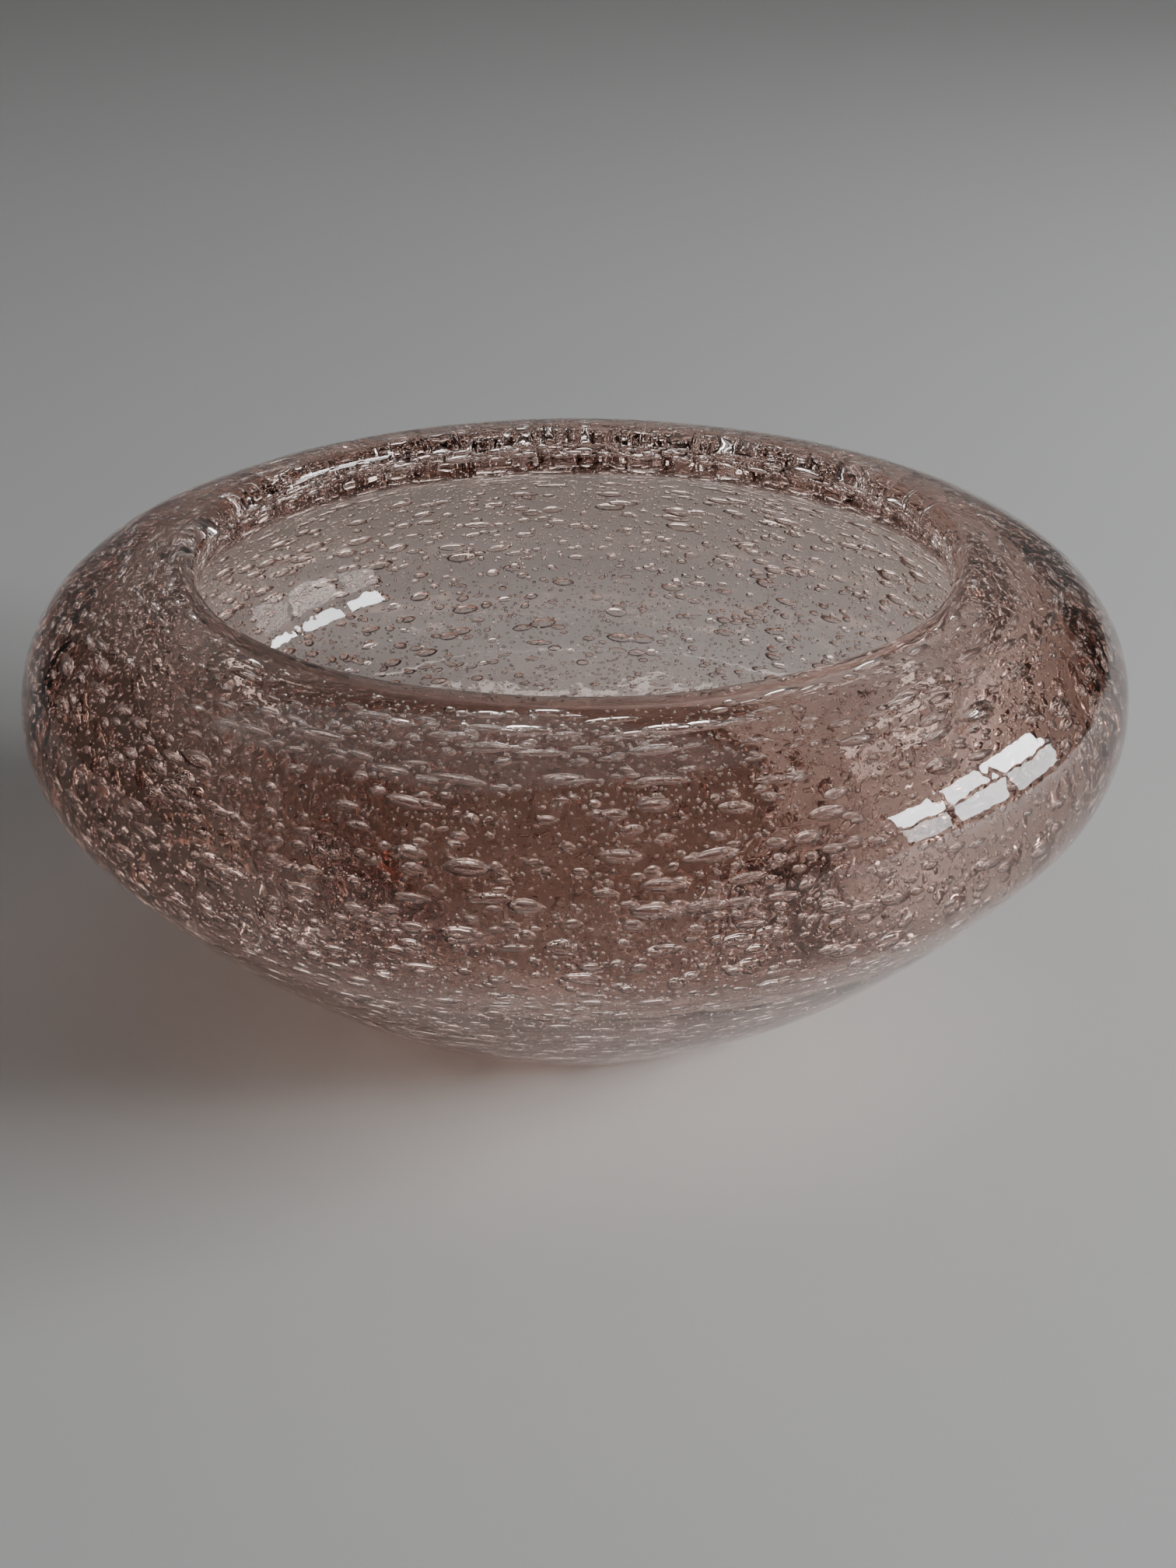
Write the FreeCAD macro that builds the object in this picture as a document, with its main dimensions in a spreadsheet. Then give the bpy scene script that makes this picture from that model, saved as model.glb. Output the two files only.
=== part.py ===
import FreeCAD, Part
import Sketcher

import math
import os

# Heavy art glass bowl with an incurved rim, made of three gathers of glass.
#
# The bowl is round about Z and stands on its ground foot at Z = 0. A clear outer casing, a
# middle gather that carries the air bubbles and a thin inner lining lie face to face, as they
# were taken from the furnace one over another. Each one is half a section in the XZ plane,
# turned about Z. All sizes are in millimetres.

SIZES = (
    ("belly_radius", 75.0, "widest radius of the bowl"),
    ("bowl_height", 61.3, "foot to the top of the rim"),
    ("rim_drop", 18.2, "top of the rim down to the widest level"),
    ("rim_overhang", 24.2, "how far the rim turns in from the widest radius"),
    ("foot_radius", 35.0, "flat ground foot"),
    ("foot_bend", 141.0, "long curve from the foot up to the lower wall"),
    ("lower_bend", 18.0, "curve below the widest level"),
    ("shoulder_bend", 16.5, "curve above the widest level"),
    ("crown_bend", 29.0, "flatter curve from the shoulder to the rim"),
    ("lip_round", 2.3, "rounding of the top of the rim"),
    ("under_lip_round", 3.7, "rounding under the rim, inside the mouth"),
    ("foot_arris", 0.8, "softened edge round the ground foot"),
    ("wall_thickness", 14.5, "glass at the widest level"),
    ("floor_thickness", 13.0, "glass at the middle of the floor"),
    ("cavity_drop", 19.0, "top of the rim down to the widest level inside"),
    ("floor_bend", 122.0, "long curve of the inside floor, which the wall curve runs into"),
    ("cavity_shoulder_bend", 12.0, "curve under the inside of the rim"),
    ("casing_thickness", 2.5, "clear outer gather"),
    ("lining_thickness", 2.5, "clear inner gather"),
    ("rim_cover", 3.5, "clear glass between the mouth and the bubble gather"),
)

ORIGIN = (-1, 1)
VERTICAL_AXIS = -2
START, END, CENTRE = 1, 2, 3


def fill_sheet(document):
    """Write the driving sizes to a sheet, one row each, with the names as aliases."""
    sheet = document.addObject("Spreadsheet::Sheet", "Sizes")
    for row, (alias, value, note) in enumerate(SIZES, start=1):
        sheet.set(f"A{row}", alias)
        sheet.set(f"B{row}", str(value))
        sheet.set(f"C{row}", note)
        sheet.setAlias(f"B{row}", alias)
    document.recompute()
    return sheet


def meeting_point(centre_a, radius_a, centre_b, radius_b, left):
    """A point where two circles cross, to the left or the right of the way from a to b."""
    across, up = centre_b[0] - centre_a[0], centre_b[1] - centre_a[1]
    gap = math.hypot(across, up)
    along = (radius_a ** 2 - radius_b ** 2 + gap ** 2) / (2 * gap)
    aside = math.sqrt(max(radius_a ** 2 - along ** 2, 0.0))
    side = aside if left else -aside
    return (
        centre_a[0] + (across * along - up * side) / gap,
        centre_a[1] + (up * along + across * side) / gap,
    )


def angle(start, end):
    """Direction from one point to another."""
    return math.atan2(end[1] - start[1], end[0] - start[0])


class Section:
    """A half section of the bowl: a sketch on the XZ plane of its own body."""

    def __init__(self, body, sheet):
        self.sheet = sheet
        self.sketch = body.newObject("Sketcher::SketchObject", f"{body.Name}_section")
        plane = next(part for part in body.Origin.OriginFeatures if part.Role == "XZ_Plane")
        self.sketch.AttachmentSupport = [(plane, "")]
        self.sketch.MapMode = "FlatFace"
        self.place_centres()

    def size(self, name):
        return self.sheet.get(name)

    def place_centres(self):
        """Work out where the arcs' centres lie, so that the solver starts from there."""
        size = self.size
        rim = size("bowl_height")
        mouth = size("belly_radius") - size("rim_overhang")
        cavity_radius = size("belly_radius") - size("wall_thickness")
        self.foot = (size("foot_radius"), 0.0)
        self.lower = (size("belly_radius") - size("lower_bend"), rim - size("rim_drop"))
        self.shoulder = (size("belly_radius") - size("shoulder_bend"), rim - size("rim_drop"))
        self.lip = (mouth + size("lip_round"), rim - size("lip_round"))
        self.foot_curve = meeting_point(
            self.foot, size("foot_bend"), self.lower, size("foot_bend") - size("lower_bend"), True
        )
        self.crown = meeting_point(
            self.shoulder, size("crown_bend") - size("shoulder_bend"),
            self.lip, size("crown_bend") - size("lip_round"), True
        )
        cavity_level = rim - size("cavity_drop")
        depth = cavity_level - size("floor_thickness")
        spread = 2 * depth * size("floor_bend") - cavity_radius ** 2 - depth ** 2
        self.cavity_lower_bend = spread / (2 * (size("floor_bend") - cavity_radius))
        self.floor = (0.0, size("floor_thickness") + size("floor_bend"))
        self.cavity_lower = (cavity_radius - self.cavity_lower_bend, cavity_level)
        self.cavity_shoulder = (cavity_radius - size("cavity_shoulder_bend"), cavity_level)
        reach = size("cavity_shoulder_bend") + size("under_lip_round")
        under_x = mouth + size("under_lip_round")
        under_rise = math.sqrt(reach ** 2 - (under_x - self.cavity_shoulder[0]) ** 2)
        self.under_lip = (under_x, cavity_level + under_rise)
        self.rim_cover_x = mouth + size("rim_cover")

    def bind(self, kind, places, formula):
        """Add a sized constraint and tie it to the sheet."""
        value = float(self.sketch.evalExpression(formula))
        index = self.sketch.addConstraint(Sketcher.Constraint(kind, *places, value))
        name = f"size_{index}"
        self.sketch.renameConstraint(index, name)
        self.sketch.setExpression(f"Constraints.{name}", formula)

    def set_x(self, item, point, formula):
        self.bind("DistanceX", (*ORIGIN, item, point), formula)

    def set_height(self, item, point, formula):
        self.bind("DistanceY", (*ORIGIN, item, point), formula)

    def line(self, start, end):
        first = FreeCAD.Vector(start[0], start[1], 0)
        last = FreeCAD.Vector(end[0], end[1], 0)
        return self.sketch.addGeometry(Part.LineSegment(first, last), False)

    def arc(self, centre, radius, first_angle, last_angle, formula=None):
        """An arc drawn anticlockwise, with its radius tied to the sheet if a formula is given."""
        circle = Part.Circle(
            FreeCAD.Vector(centre[0], centre[1], 0), FreeCAD.Vector(0, 0, 1), radius
        )
        item = self.sketch.addGeometry(Part.ArcOfCircle(circle, first_angle, last_angle), False)
        if formula:
            self.bind("Radius", (item,), formula)
        return item

    def mark(self, place):
        """A construction point that an arc's centre or an edge is measured from."""
        return self.sketch.addGeometry(
            Part.Point(FreeCAD.Vector(place[0], place[1], 0)), True
        )

    def join(self, item_a, point_a, item_b, point_b):
        self.sketch.addConstraint(
            Sketcher.Constraint("Coincident", item_a, point_a, item_b, point_b)
        )

    def blend(self, item_a, point_a, item_b, point_b):
        """Join two ends so that one curve runs smoothly into the other."""
        self.sketch.addConstraint(
            Sketcher.Constraint("Tangent", item_a, point_a, item_b, point_b)
        )

    def level(self, item_a, point_a, item_b, point_b):
        self.sketch.addConstraint(
            Sketcher.Constraint("Horizontal", item_a, point_a, item_b, point_b)
        )

    def flat(self, item):
        self.sketch.addConstraint(Sketcher.Constraint("Horizontal", item))

    def upright(self, item):
        self.sketch.addConstraint(Sketcher.Constraint("Vertical", item))

    def on_axis(self, item, point):
        self.sketch.addConstraint(
            Sketcher.Constraint("PointOnObject", item, point, VERTICAL_AXIS)
        )

    def outer_wall(self, inset, inset_formula):
        """Foot, lower and shoulder curves, a depth under the outside of the glass."""
        size = self.size
        lower_end = angle(self.foot_curve, self.lower)
        foot_curve = self.arc(
            self.foot_curve, size("foot_bend") - inset, angle(self.foot_curve, self.foot),
            lower_end, f"Sizes.foot_bend - {inset_formula}"
        )
        lower = self.arc(
            self.lower, size("lower_bend") - inset, lower_end, 0.0,
            f"Sizes.lower_bend - {inset_formula}"
        )
        shoulder = self.arc(
            self.shoulder, size("shoulder_bend") - inset, 0.0, angle(self.crown, self.shoulder),
            f"Sizes.shoulder_bend - {inset_formula}"
        )
        self.set_height(lower, CENTRE, "Sizes.bowl_height - Sizes.rim_drop")
        self.set_x(lower, END, f"Sizes.belly_radius - {inset_formula}")
        self.level(lower, CENTRE, lower, END)
        self.blend(foot_curve, END, lower, START)
        self.join(lower, END, shoulder, START)
        self.level(lower, CENTRE, shoulder, CENTRE)
        return foot_curve, shoulder

    def outside(self):
        """The outside of the bowl, from the middle of the foot to the face of the mouth."""
        size = self.size
        foot = self.line((0.0, 0.0), self.foot)
        foot_curve, shoulder = self.outer_wall(0.0, "0")
        crown = self.arc(
            self.crown, size("crown_bend"), angle(self.crown, self.shoulder),
            angle(self.crown, self.lip), "Sizes.crown_bend"
        )
        lip = self.arc(
            self.lip, size("lip_round"), angle(self.crown, self.lip), math.pi, "Sizes.lip_round"
        )
        self.join(foot, START, *ORIGIN)
        self.flat(foot)
        self.set_x(foot, END, "Sizes.foot_radius")
        self.join(foot, END, foot_curve, START)
        self.blend(shoulder, END, crown, START)
        self.set_height(lip, CENTRE, "Sizes.bowl_height - Sizes.lip_round")
        self.set_x(lip, END, "Sizes.belly_radius - Sizes.rim_overhang")
        self.level(lip, CENTRE, lip, END)
        self.blend(crown, END, lip, START)
        return foot, lip

    def casing_underside(self):
        """The face between the casing and the bubble gather, from the axis to its cut end."""
        size = self.size
        inset = size("casing_thickness")
        floor = self.line((0.0, inset), (size("foot_radius"), inset))
        foot_curve, shoulder = self.outer_wall(inset, "Sizes.casing_thickness")
        crown_radius = size("crown_bend") - inset
        run = self.rim_cover_x - self.crown[0]
        crown_end = math.acos(run / crown_radius)
        crown = self.arc(
            self.crown, crown_radius, angle(self.crown, self.shoulder), crown_end,
            "Sizes.crown_bend - Sizes.casing_thickness"
        )
        foot_edge = self.mark(self.foot)
        lip_centre = self.mark(self.lip)
        self.on_axis(floor, START)
        self.set_height(floor, START, "Sizes.casing_thickness")
        self.flat(floor)
        self.join(floor, END, foot_curve, START)
        self.set_x(foot_edge, START, "Sizes.foot_radius")
        self.level(foot_edge, START, *ORIGIN)
        self.bind("Distance", (foot_edge, START, foot_curve, CENTRE), "Sizes.foot_bend")
        self.blend(shoulder, END, crown, START)
        self.set_x(
            lip_centre, START, "Sizes.belly_radius - Sizes.rim_overhang + Sizes.lip_round"
        )
        self.set_height(lip_centre, START, "Sizes.bowl_height - Sizes.lip_round")
        self.bind(
            "Distance", (lip_centre, START, crown, CENTRE), "Sizes.crown_bend - Sizes.lip_round"
        )
        top = (self.rim_cover_x, self.crown[1] + crown_radius * math.sin(crown_end))
        cut_end = self.line(top, self.lining_corner())
        self.join(crown, END, cut_end, START)
        self.upright(cut_end)
        self.set_x(
            cut_end, START, "Sizes.belly_radius - Sizes.rim_overhang + Sizes.rim_cover"
        )
        return floor, cut_end

    def lining_corner(self):
        """Where the back of the lining meets the cut end of the bubble gather."""
        reach = self.size("cavity_shoulder_bend") + self.size("lining_thickness")
        run = self.rim_cover_x - self.cavity_shoulder[0]
        return self.rim_cover_x, self.cavity_shoulder[1] + math.sqrt(reach ** 2 - run ** 2)

    def inner_wall(self, outset, outset_formula, shoulder_end):
        """Floor, lower and shoulder curves, a depth under the inside of the glass."""
        size = self.size
        lower_start = angle(self.floor, self.cavity_lower)
        floor = self.arc(
            self.floor, size("floor_bend") + outset, -math.pi / 2, lower_start,
            f"Sizes.floor_bend + {outset_formula}"
        )
        lower = self.arc(self.cavity_lower, self.cavity_lower_bend + outset, lower_start, 0.0)
        shoulder = self.arc(
            self.cavity_shoulder, size("cavity_shoulder_bend") + outset, 0.0, shoulder_end,
            f"Sizes.cavity_shoulder_bend + {outset_formula}"
        )
        self.on_axis(floor, CENTRE)
        self.on_axis(floor, START)
        self.set_height(floor, START, f"Sizes.floor_thickness - {outset_formula}")
        self.blend(floor, END, lower, START)
        self.set_height(lower, CENTRE, "Sizes.bowl_height - Sizes.cavity_drop")
        self.set_x(
            lower, END, f"Sizes.belly_radius - Sizes.wall_thickness + {outset_formula}"
        )
        self.level(lower, CENTRE, lower, END)
        self.join(lower, END, shoulder, START)
        self.level(lower, CENTRE, shoulder, CENTRE)
        return floor, shoulder

    def lining_back(self):
        """The face between the lining and the bubble gather, out to the cut end."""
        corner = self.lining_corner()
        return self.inner_wall(
            self.size("lining_thickness"), "Sizes.lining_thickness",
            angle(self.cavity_shoulder, corner)
        )

    def inside(self):
        """The inside of the bowl, from the middle of the floor to the face of the mouth."""
        turn = angle(self.cavity_shoulder, self.under_lip)
        floor, shoulder = self.inner_wall(0.0, "0", turn)
        under_lip = self.arc(
            self.under_lip, self.size("under_lip_round"), math.pi, math.pi + turn,
            "Sizes.under_lip_round"
        )
        self.set_x(under_lip, START, "Sizes.belly_radius - Sizes.rim_overhang")
        self.level(under_lip, CENTRE, under_lip, START)
        self.blend(under_lip, END, shoulder, END)
        return floor, under_lip

    def mark_cavity_shoulder(self):
        """The centre of the curve under the inside of the rim, as a construction point."""
        centre = self.mark(self.cavity_shoulder)
        self.set_x(
            centre, START,
            "Sizes.belly_radius - Sizes.wall_thickness - Sizes.cavity_shoulder_bend"
        )
        self.set_height(centre, START, "Sizes.bowl_height - Sizes.cavity_drop")
        return centre

    def mark_under_lip(self, cavity_shoulder):
        """The centre of the rounding under the rim, as a construction point."""
        centre = self.mark(self.under_lip)
        self.set_x(
            centre, START, "Sizes.belly_radius - Sizes.rim_overhang + Sizes.under_lip_round"
        )
        self.bind(
            "Distance", (cavity_shoulder, START, centre, START),
            "Sizes.cavity_shoulder_bend + Sizes.under_lip_round"
        )
        return centre

    def axis(self, low, high):
        """Close the section along the axis between two items that start on it."""
        low_point = self.sketch.getPoint(low, START)
        high_point = self.sketch.getPoint(high, START)
        item = self.line((low_point.x, low_point.y), (high_point.x, high_point.y))
        self.join(item, START, low, START)
        self.join(item, END, high, START)


def turn_body(document, body, section):
    """Revolve a closed section once round Z."""
    turn = body.newObject("PartDesign::Revolution", f"{body.Name}_turn")
    turn.Profile = section.sketch
    turn.ReferenceAxis = (section.sketch, ["V_Axis"])
    turn.Angle = 360.0
    section.sketch.Visibility = False
    document.recompute()
    return turn


def new_gather(document, sheet, label):
    body = document.addObject("PartDesign::Body", label)
    body.Label = label
    body.Placement = FreeCAD.Placement()
    return body, Section(body, sheet)


def make_casing(document, sheet):
    """Clear outer gather: the outside, the foot and the whole rounded rim."""
    body, section = new_gather(document, sheet, "casing_gather")
    foot, lip = section.outside()
    underside, cut_end = section.casing_underside()
    mouth = section.sketch.getPoint(lip, END)
    face = section.line((mouth.x, mouth.y), (mouth.x, section.under_lip[1]))
    seam = section.line((mouth.x, section.under_lip[1]), section.lining_corner())
    cavity_shoulder = section.mark_cavity_shoulder()
    under_lip = section.mark_under_lip(cavity_shoulder)
    section.join(lip, END, face, START)
    section.upright(face)
    section.level(face, END, under_lip, START)
    section.join(face, END, seam, START)
    section.join(seam, END, cut_end, END)
    section.bind(
        "Distance", (cavity_shoulder, START, cut_end, END),
        "Sizes.cavity_shoulder_bend + Sizes.lining_thickness"
    )
    section.axis(foot, underside)
    turn = turn_body(document, body, section)
    soften_foot(document, body, turn, sheet.get("foot_radius"))
    return body


def soften_foot(document, body, turn, foot_radius):
    """Round the edge of the ground foot."""
    names = []
    for number, edge in enumerate(turn.Shape.Edges, start=1):
        box = edge.BoundBox
        if box.ZMax < 1e-6 and abs(box.XMax - foot_radius) < 1e-3:
            names.append(f"Edge{number}")
    fillet = body.newObject("PartDesign::Fillet", "foot_edge")
    fillet.Base = (turn, names)
    fillet.setExpression("Radius", "Sizes.foot_arris")
    document.recompute()


def make_bubble_gather(document, sheet):
    """Middle gather, which the air bubbles are trapped in. It stops short of the mouth."""
    body, section = new_gather(document, sheet, "bubble_gather")
    underside, cut_end = section.casing_underside()
    floor, shoulder = section.lining_back()
    section.join(shoulder, END, cut_end, END)
    section.axis(underside, floor)
    turn_body(document, body, section)
    return body


def make_lining(document, sheet):
    """Clear inner gather: the inside of the bowl, up to the rounding under the rim."""
    body, section = new_gather(document, sheet, "lining_gather")
    floor_back, shoulder_back = section.lining_back()
    floor, under_lip = section.inside()
    seam = section.line(section.lining_corner(), (section.under_lip[0], section.under_lip[1]))
    section.join(seam, START, shoulder_back, END)
    section.join(seam, END, under_lip, START)
    section.set_x(
        shoulder_back, END, "Sizes.belly_radius - Sizes.rim_overhang + Sizes.rim_cover"
    )
    section.axis(floor_back, floor)
    turn_body(document, body, section)
    return body


def check(document, bodies):
    """Stop before anything is written if an object failed or a solid isn't sound."""
    for item in document.Objects:
        if "Invalid" in item.State or "Error" in item.State:
            raise RuntimeError(f"{item.Name} failed: {item.State}")
        if item.isDerivedFrom("Sketcher::SketchObject") and item.solve() != 0:
            raise RuntimeError(f"{item.Name} isn't solved")
    for body in bodies:
        shape = body.Shape
        if shape.isNull() or not shape.isValid() or len(shape.Solids) != 1:
            raise RuntimeError(f"{body.Label} isn't one valid solid")


def main():
    document = FreeCAD.newDocument("bubble_bowl")
    sheet = fill_sheet(document)
    bodies = [
        make_casing(document, sheet),
        make_bubble_gather(document, sheet),
        make_lining(document, sheet),
    ]
    document.recompute()
    check(document, bodies)
    os.makedirs("parts", exist_ok=True)
    for body in bodies:
        body.Shape.exportStep(f"parts/{body.Label}.step")
        print(body.Label, round(body.Shape.Volume / 1000, 2), "cm3", body.Shape.BoundBox)


main()
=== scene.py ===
import math

import bpy
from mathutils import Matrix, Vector

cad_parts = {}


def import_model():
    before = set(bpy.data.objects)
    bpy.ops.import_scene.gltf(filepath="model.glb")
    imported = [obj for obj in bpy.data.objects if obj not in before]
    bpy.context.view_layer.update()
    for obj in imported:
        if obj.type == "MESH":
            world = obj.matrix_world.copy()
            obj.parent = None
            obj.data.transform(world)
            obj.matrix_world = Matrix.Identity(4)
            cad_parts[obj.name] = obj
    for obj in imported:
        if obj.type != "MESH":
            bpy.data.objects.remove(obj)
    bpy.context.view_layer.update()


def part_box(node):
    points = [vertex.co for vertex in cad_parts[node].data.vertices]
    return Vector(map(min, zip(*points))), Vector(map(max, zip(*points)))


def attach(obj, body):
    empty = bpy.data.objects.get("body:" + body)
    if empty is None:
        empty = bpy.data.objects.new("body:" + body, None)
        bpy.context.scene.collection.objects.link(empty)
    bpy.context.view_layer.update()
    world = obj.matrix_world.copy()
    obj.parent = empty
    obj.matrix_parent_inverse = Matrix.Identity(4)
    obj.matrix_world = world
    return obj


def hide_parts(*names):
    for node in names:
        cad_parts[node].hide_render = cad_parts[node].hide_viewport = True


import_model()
CASING_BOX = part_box("casing_gather")
BUBBLE_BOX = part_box("bubble_gather")

bl_info = {
    "name": "Bubble Glass Bowl",
    "version": (1, 0, 0),
    "blender": (4, 5, 0),
    "location": "View3D > Sidebar > Bowl",
    "description": "Models a heavy bubble glass bowl round its packed frame",
    "category": "Add Mesh",
}

MM = 0.001
BODY = "root"
GLASS_IOR = 1.5
LIGHT_BOUNCES = 32
FACET = math.radians(4)


# Sizes and looks -----------------------------------------------------------------------


def length(name, default, description):
    """A length in metres that a user may change."""
    return bpy.props.FloatProperty(
        name=name, description=description, default=default, min=0.0, unit="LENGTH",
        precision=5
    )


class BowlSizes(bpy.types.PropertyGroup):
    """The half section of the bowl, in metres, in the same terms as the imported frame."""

    belly_radius: length("Belly radius", CASING_BOX[1][0], "Widest radius of the bowl")
    bowl_height: length("Height", CASING_BOX[1][2], "Foot to the top of the rim")
    casing: length(
        "Casing", CASING_BOX[1][0] - BUBBLE_BOX[1][0], "Clear glass outside the bubbles"
    )
    rim_drop: length("Rim drop", 18.2 * MM, "Top of the rim down to the widest level")
    rim_overhang: length("Rim overhang", 24.2 * MM, "How far the rim turns in")
    foot_radius: length("Foot radius", 35 * MM, "Flat ground foot")
    foot_arris: length("Foot arris", 0.8 * MM, "Softened edge round the foot")
    foot_bend: length("Foot bend", 141 * MM, "Curve from the foot to the lower wall")
    lower_bend: length("Lower bend", 18 * MM, "Curve below the widest level")
    shoulder_bend: length("Shoulder bend", 16.5 * MM, "Curve above the widest level")
    crown_bend: length("Crown bend", 29 * MM, "Curve from the shoulder to the rim")
    lip_round: length("Lip rounding", 2.3 * MM, "Rounding of the top of the rim")
    under_lip_round: length("Under-lip rounding", 3.7 * MM, "Rounding under the rim")
    wall: length("Wall", 14.5 * MM, "Glass at the widest level")
    floor: length("Floor", 13 * MM, "Glass at the middle of the floor")
    cavity_drop: length("Cavity drop", 19 * MM, "Top of the rim to the widest level inside")
    floor_bend: length("Floor bend", 122 * MM, "Long curve of the inside floor")
    cavity_shoulder_bend: length("Inner shoulder", 12 * MM, "Curve under the inside of the rim")
    waviness: length("Waviness", 0.25 * MM, "How far the hand-worked skin wanders")
    segments: bpy.props.IntProperty(
        name="Segments", description="Steps round the bowl", default=288, min=24
    )


class BubbleLook(bpy.types.PropertyGroup):
    """How closely the three sizes of bubble lie."""

    drawn_spacing: length("Drawn bubbles", 2.6 * MM, "Least gap between long drawn bubbles")
    round_spacing: length("Round bubbles", 1.5 * MM, "Least gap between round bubbles")
    seed_spacing: length("Seeds", 0.8 * MM, "Least gap between the tiny seeds")
    clump: length("Clumps", 11 * MM, "Size of the thick and thin patches of bubbles")
    unevenness: length("Unevenness", 0.16 * MM, "How far a bubble strays from round")


class StageLook(bpy.types.PropertyGroup):
    """Floor and light."""

    floor_colour: bpy.props.FloatVectorProperty(
        name="Floor colour", description="Plain pale floor", subtype="COLOR", size=3,
        default=(0.64, 0.63, 0.61), min=0.0, max=1.0
    )
    window_power: bpy.props.FloatProperty(
        name="Window power", description="The brightest pane of the side light",
        default=4.6, min=0.0, unit="POWER"
    )
    strip_power: bpy.props.FloatProperty(
        name="Strip power", description="Soft strip high behind the bowl, seen through the glass",
        default=7.5, min=0.0, unit="POWER"
    )
    glint_power: bpy.props.FloatProperty(
        name="Glint power", description="Narrow lights that only show inside the glass",
        default=3.0, min=0.0, unit="POWER"
    )
    overhead_power: bpy.props.FloatProperty(
        name="Overhead power", description="Large soft light above", default=1.2, min=0.0,
        unit="POWER"
    )


# Modelling by hand -----------------------------------------------------------------------


def meeting_point(centre_a, radius_a, centre_b, radius_b):
    """Where two circles cross, to the left of the way from a to b."""
    across, up = centre_b[0] - centre_a[0], centre_b[1] - centre_a[1]
    gap = math.hypot(across, up)
    along = (radius_a ** 2 - radius_b ** 2 + gap ** 2) / (2 * gap)
    aside = math.sqrt(max(radius_a ** 2 - along ** 2, 0.0))
    return (
        centre_a[0] + (across * along - up * aside) / gap,
        centre_a[1] + (up * along + across * aside) / gap,
    )


def bearing(start, end):
    return math.atan2(end[1] - start[1], end[0] - start[0])


class Centres:
    """Where the arcs of the half section are centred, as (radius, height)."""

    def __init__(self, sizes):
        rim = sizes.bowl_height
        self.mouth = sizes.belly_radius - sizes.rim_overhang
        level = rim - sizes.rim_drop
        self.foot = (sizes.foot_radius, 0.0)
        self.lower = (sizes.belly_radius - sizes.lower_bend, level)
        self.shoulder = (sizes.belly_radius - sizes.shoulder_bend, level)
        self.lip = (self.mouth + sizes.lip_round, rim - sizes.lip_round)
        self.foot_curve = meeting_point(
            self.foot, sizes.foot_bend, self.lower, sizes.foot_bend - sizes.lower_bend
        )
        self.crown = meeting_point(
            self.shoulder, sizes.crown_bend - sizes.shoulder_bend,
            self.lip, sizes.crown_bend - sizes.lip_round
        )
        cavity_radius = sizes.belly_radius - sizes.wall
        cavity_level = rim - sizes.cavity_drop
        depth = cavity_level - sizes.floor
        spread = 2 * depth * sizes.floor_bend - cavity_radius ** 2 - depth ** 2
        lower_bend = spread / (2 * (sizes.floor_bend - cavity_radius))
        self.inside_floor = (0.0, sizes.floor + sizes.floor_bend)
        self.inside_lower = (cavity_radius - lower_bend, cavity_level)
        self.inside_shoulder = (cavity_radius - sizes.cavity_shoulder_bend, cavity_level)
        reach = sizes.cavity_shoulder_bend + sizes.under_lip_round
        under_x = self.mouth + sizes.under_lip_round
        rise = math.sqrt(reach ** 2 - (under_x - self.inside_shoulder[0]) ** 2)
        self.under_lip = (under_x, cavity_level + rise)


class Outline:
    """A line drawn in the XZ plane by extruding and spinning the vertex at its end."""

    def __init__(self, name, start):
        bpy.ops.object.select_all(action="DESELECT")
        bpy.ops.mesh.primitive_plane_add(size=MM)
        self.piece = bpy.context.active_object
        self.piece.name = name
        self.piece.data.name = name
        bpy.ops.object.mode_set(mode="EDIT")
        bpy.ops.mesh.merge(type="CENTER")
        bpy.ops.transform.translate(value=(start[0], 0.0, start[1]))
        self.place = start

    def line_to(self, end):
        step = (end[0] - self.place[0], 0.0, end[1] - self.place[1])
        bpy.ops.mesh.extrude_region_move(TRANSFORM_OT_translate={"value": step})
        self.place = end

    def arc(self, centre, bearing_end, step=FACET):
        """Turn the end about a centre, the short way, until it lies at a bearing from it."""
        radius = math.dist(centre, self.place)
        turn = bearing_end - bearing(centre, self.place)
        turn = math.remainder(turn, math.tau)
        bpy.ops.mesh.spin(
            steps=max(2, math.ceil(abs(turn) / step)), angle=turn,
            center=(centre[0], 0.0, centre[1]), axis=(0.0, 1.0, 0.0)
        )
        self.place = (
            centre[0] + radius * math.cos(bearing_end),
            centre[1] + radius * math.sin(bearing_end),
        )

    def turned(self, segments):
        """Spin the outline once round Z and return the piece, closed and smooth."""
        bpy.ops.mesh.select_all(action="SELECT")
        bpy.ops.mesh.spin(
            steps=segments, angle=math.tau, center=(0, 0, 0), axis=(0, 0, 1),
            use_auto_merge=True
        )
        bpy.ops.mesh.select_all(action="SELECT")
        bpy.ops.mesh.remove_doubles(threshold=0.001 * MM)
        bpy.ops.mesh.normals_make_consistent(inside=False)
        if not faces_look_out(self.piece):
            bpy.ops.mesh.flip_normals()
        bpy.ops.object.mode_set(mode="OBJECT")
        settle_faces(self.piece)
        return self.piece


def settle_faces(piece):
    """Number the faces by their corners, so that what is laid on them falls the same each time.

    A spin may number its faces in another order on another run.
    """
    mesh = piece.data
    places = [tuple(vertex.co) for vertex in mesh.vertices]
    faces = []
    for face in mesh.polygons:
        corners = list(face.vertices)
        first = corners.index(min(corners))
        faces.append(corners[first:] + corners[:first])
    mesh.clear_geometry()
    mesh.from_pydata(places, [], sorted(faces))
    mesh.update()


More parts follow.
